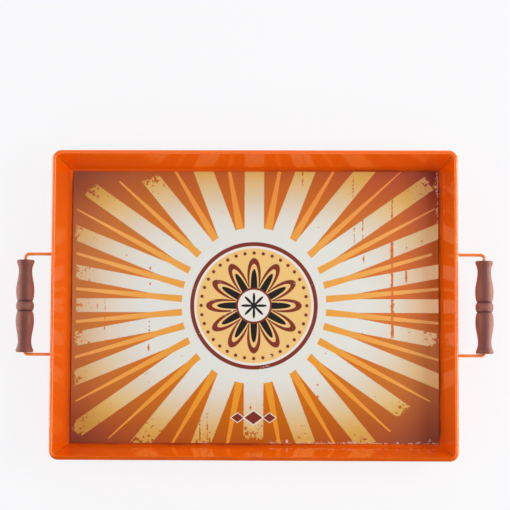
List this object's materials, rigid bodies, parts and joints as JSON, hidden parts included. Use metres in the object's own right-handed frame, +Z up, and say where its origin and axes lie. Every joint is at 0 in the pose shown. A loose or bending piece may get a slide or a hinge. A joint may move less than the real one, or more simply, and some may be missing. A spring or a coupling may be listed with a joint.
{
  "type": "serving tray",
  "caption": "Rectangular steel serving tray with flared walls, a rolled rim, a printed floor panel and swinging wire handles with turned wooden grips.",
  "frame": {"origin": "middle of the tray's underside, on the surface that it stands on", "axes": "+Z up out of the tray's mouth, +X along the tray towards the right handle, +Y towards the rear long wall"},
  "size_m": [0.47, 0.305, 0.0465],
  "materials": {
    "orange_lacquer": "gloss lacquer on sheet steel",
    "printed_sheet": "printed and varnished",
    "adhesive": "clear film",
    "lacquered_wire": "gloss lacquer on steel wire",
    "stained_wood": "red-brown stain, satin"
  },
  "bodies": {
    "tray": {"tray_pan": "orange_lacquer", "printed_panel": "printed_sheet", "panel_adhesive": "adhesive", "lug_left_front": "orange_lacquer", "lug_left_rear": "orange_lacquer", "lug_right_front": "orange_lacquer", "lug_right_rear": "orange_lacquer"},
    "handle_left": {"handle_wire_left": "lacquered_wire"},
    "handle_right": {"handle_wire_right": "lacquered_wire"},
    "grip_left": {"grip_left": "stained_wood"},
    "grip_right": {"grip_right": "stained_wood"}
  },
  "joints": [
    {"name": "left_handle_swing", "type": "hinge", "parent": "tray", "child": "handle_left", "pos_m": [-0.19783, 0, 0.03754], "axis": [0, -1, 0], "range_deg": [-42, 87]},
    {"name": "right_handle_swing", "type": "hinge", "parent": "tray", "child": "handle_right", "pos_m": [0.19783, 0, 0.03754], "axis": [0, 1, 0], "range_deg": [-42, 87]},
    {"name": "left_grip_roll", "type": "hinge", "parent": "handle_left", "child": "grip_left", "pos_m": [-0.226, 0, 0.03754], "axis": [0, 1, 0], "continuous": true},
    {"name": "right_grip_roll", "type": "hinge", "parent": "handle_right", "child": "grip_right", "pos_m": [0.226, 0, 0.03754], "axis": [0, 1, 0], "continuous": true}
  ]
}
